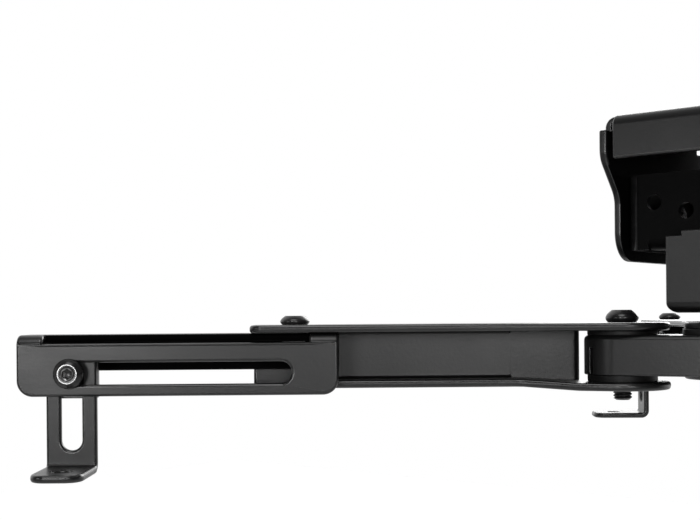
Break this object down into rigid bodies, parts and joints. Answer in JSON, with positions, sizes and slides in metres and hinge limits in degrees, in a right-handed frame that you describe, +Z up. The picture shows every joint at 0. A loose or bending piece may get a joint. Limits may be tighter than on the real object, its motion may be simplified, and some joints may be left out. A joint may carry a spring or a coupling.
{
  "type": "projector ceiling mount",
  "caption": "Black steel ceiling bracket with a tilting, swivelling hub and hinged arms that telescope to slotted rails with adjustable L-shaped feet for a projector.",
  "frame": {"origin": "middle of the ceiling plate's top face, at the centre of its four bolt holes", "axes": "+Z up to the ceiling, +X along the ceiling plate's long flanges, -Y to the front"},
  "size_m": [0.4406, 0.413, 0.1111],
  "materials": {
    "bracket_black": "satin black powder coat",
    "arm_black": "satin black powder coat",
    "screw_black": "black oxide, lightly oiled",
    "nylon_black": "matt nylon"
  },
  "bodies": {
    "ceiling": {"ceiling_bracket": "bracket_black"},
    "cradle": {"tilt_cradle": "bracket_black", "pitch_bolts": "screw_black", "pitch_nuts": "screw_black"},
    "hub_frame": {"hub_bracket": "bracket_black", "roll_bolts": "screw_black", "roll_nuts": "screw_black", "yaw_spacer": "nylon_black", "yaw_bolt": "screw_black", "yaw_nut": "screw_black"},
    "hub": {"hub_plate": "bracket_black", "link_screw_front_left": "screw_black", "link_nut_front_left": "screw_black", "link_screw_back_left": "screw_black", "link_nut_back_left": "screw_black", "link_screw_back_right": "screw_black", "link_nut_back_right": "screw_black", "link_screw_front_right": "screw_black", "link_nut_front_right": "screw_black"},
    "link_front_left": {"link_front_left": "arm_black", "link_washers_front_left": "nylon_black"},
    "arm_front_left": {"arm_front_left": "arm_black", "elbow_screw_front_left": "screw_black", "rail_screw_front_left": "screw_black", "rail_nut_front_left": "screw_black"},
    "rail_front_left": {"rail_front_left": "arm_black"},
    "clamp_front_left": {"clamp_screw_front_left": "screw_black", "clamp_nut_front_left": "screw_black"},
    "foot_front_left": {"foot_front_left": "arm_black"},
    "link_back_left": {"link_back_left": "arm_black", "link_washers_back_left": "nylon_black"},
    "arm_back_left": {"arm_back_left": "arm_black", "elbow_screw_back_left": "screw_black", "rail_screw_back_left": "screw_black", "rail_nut_back_left": "screw_black"},
    "rail_back_left": {"rail_back_left": "arm_black"},
    "clamp_back_left": {"clamp_screw_back_left": "screw_black", "clamp_nut_back_left": "screw_black"},
    "foot_back_left": {"foot_back_left": "arm_black"},
    "link_back_right": {"link_back_right": "arm_black", "link_washers_back_right": "nylon_black"},
    "arm_back_right": {"arm_back_right": "arm_black", "elbow_screw_back_right": "screw_black", "rail_screw_back_right": "screw_black", "rail_nut_back_right": "screw_black"},
    "rail_back_right": {"rail_back_right": "arm_black"},
    "clamp_back_right": {"clamp_screw_back_right": "screw_black", "clamp_nut_back_right": "screw_black"},
    "foot_back_right": {"foot_back_right": "arm_black"},
    "link_front_right": {"link_front_right": "arm_black", "link_washers_front_right": "nylon_black"},
    "arm_front_right": {"arm_front_right": "arm_black", "elbow_screw_front_right": "screw_black", "rail_screw_front_right": "screw_black", "rail_nut_front_right": "screw_black"},
    "rail_front_right": {"rail_front_right": "arm_black"},
    "clamp_front_right": {"clamp_screw_front_right": "screw_black", "clamp_nut_front_right": "screw_black"},
    "foot_front_right": {"foot_front_right": "arm_black"}
  },
  "joints": [
    {"name": "pitch", "type": "hinge", "parent": "ceiling", "child": "cradle", "pos_m": [0, 0, -0.031], "axis": [1, 0, 0], "range_deg": [-15, 15]},
    {"name": "roll", "type": "hinge", "parent": "cradle", "child": "hub_frame", "pos_m": [0, 0, -0.031], "axis": [0, 1, 0], "range_deg": [-8, 8]},
    {"name": "yaw", "type": "hinge", "parent": "hub_frame", "child": "hub", "pos_m": [0, 0, -0.0661], "axis": [0, 0, 1], "continuous": true},
    {"name": "link_swing_front_left", "type": "hinge", "parent": "hub", "child": "link_front_left", "pos_m": [-0.034, -0.022, -0.069], "axis": [0, 0, 1], "range_deg": [-40, 40]},
    {"name": "elbow_front_left", "type": "hinge", "parent": "link_front_left", "child": "arm_front_left", "pos_m": [-0.06323, -0.02875, -0.075], "axis": [0, 0, 1], "range_deg": [-45, 45]},
    {"name": "extend_front_left", "type": "slide", "parent": "arm_front_left", "child": "rail_front_left", "axis": [-0.788, -0.6157, 0], "range_m": [-0.055, 0]},
    {"name": "clamp_slide_front_left", "type": "slide", "parent": "rail_front_left", "child": "clamp_front_left", "axis": [-0.788, -0.6157, 0], "range_m": [-0.065, 0]},
    {"name": "foot_height_front_left", "type": "slide", "parent": "clamp_front_left", "child": "foot_front_left", "axis": [0, 0, 1], "range_m": [0, 0.021]},
    {"name": "link_swing_back_left", "type": "hinge", "parent": "hub", "child": "link_back_left", "pos_m": [-0.034, 0.022, -0.069], "axis": [0, 0, 1], "range_deg": [-40, 40]},
    {"name": "elbow_back_left", "type": "hinge", "parent": "link_back_left", "child": "arm_back_left", "pos_m": [-0.0554, 0.04303, -0.075], "axis": [0, 0, 1], "range_deg": [-45, 45]},
    {"name": "extend_back_left", "type": "slide", "parent": "arm_back_left", "child": "rail_back_left", "axis": [-0.5664, 0.8241, 0], "range_m": [-0.055, 0]},
    {"name": "clamp_slide_back_left", "type": "slide", "parent": "rail_back_left", "child": "clamp_back_left", "axis": [-0.5664, 0.8241, 0], "range_m": [-0.018, 0.047]},
    {"name": "foot_height_back_left", "type": "slide", "parent": "clamp_back_left", "child": "foot_back_left", "axis": [0, 0, 1], "range_m": [0, 0.021]},
    {"name": "link_swing_back_right", "type": "hinge", "parent": "hub", "child": "link_back_right", "pos_m": [0.034, 0.022, -0.069], "axis": [0, 0, 1], "range_deg": [-40, 40]},
    {"name": "elbow_back_right", "type": "hinge", "parent": "link_back_right", "child": "arm_back_right", "pos_m": [0.06323, 0.02875, -0.075], "axis": [0, 0, 1], "range_deg": [-45, 45]},
    {"name": "extend_back_right", "type": "slide", "parent": "arm_back_right", "child": "rail_back_right", "axis": [0.788, 0.6157, 0], "range_m": [-0.055, 0]},
    {"name": "clamp_slide_back_right", "type": "slide", "parent": "rail_back_right", "child": "clamp_back_right", "axis": [0.788, 0.6157, 0], "range_m": [-0.065, 0]},
    {"name": "foot_height_back_right", "type": "slide", "parent": "clamp_back_right", "child": "foot_back_right", "axis": [0, 0, 1], "range_m": [0, 0.021]},
    {"name": "link_swing_front_right", "type": "hinge", "parent": "hub", "child": "link_front_right", "pos_m": [0.034, -0.022, -0.069], "axis": [0, 0, 1], "range_deg": [-40, 40]},
    {"name": "elbow_front_right", "type": "hinge", "parent": "link_front_right", "child": "arm_front_right", "pos_m": [0.0554, -0.04303, -0.075], "axis": [0, 0, 1], "range_deg": [-45, 45]},
    {"name": "extend_front_right", "type": "slide", "parent": "arm_front_right", "child": "rail_front_right", "axis": [0.5664, -0.8241, 0], "range_m": [-0.055, 0]},
    {"name": "clamp_slide_front_right", "type": "slide", "parent": "rail_front_right", "child": "clamp_front_right", "axis": [0.5664, -0.8241, 0], "range_m": [-0.018, 0.047]},
    {"name": "foot_height_front_right", "type": "slide", "parent": "clamp_front_right", "child": "foot_front_right", "axis": [0, 0, 1], "range_m": [0, 0.021]}
  ]
}
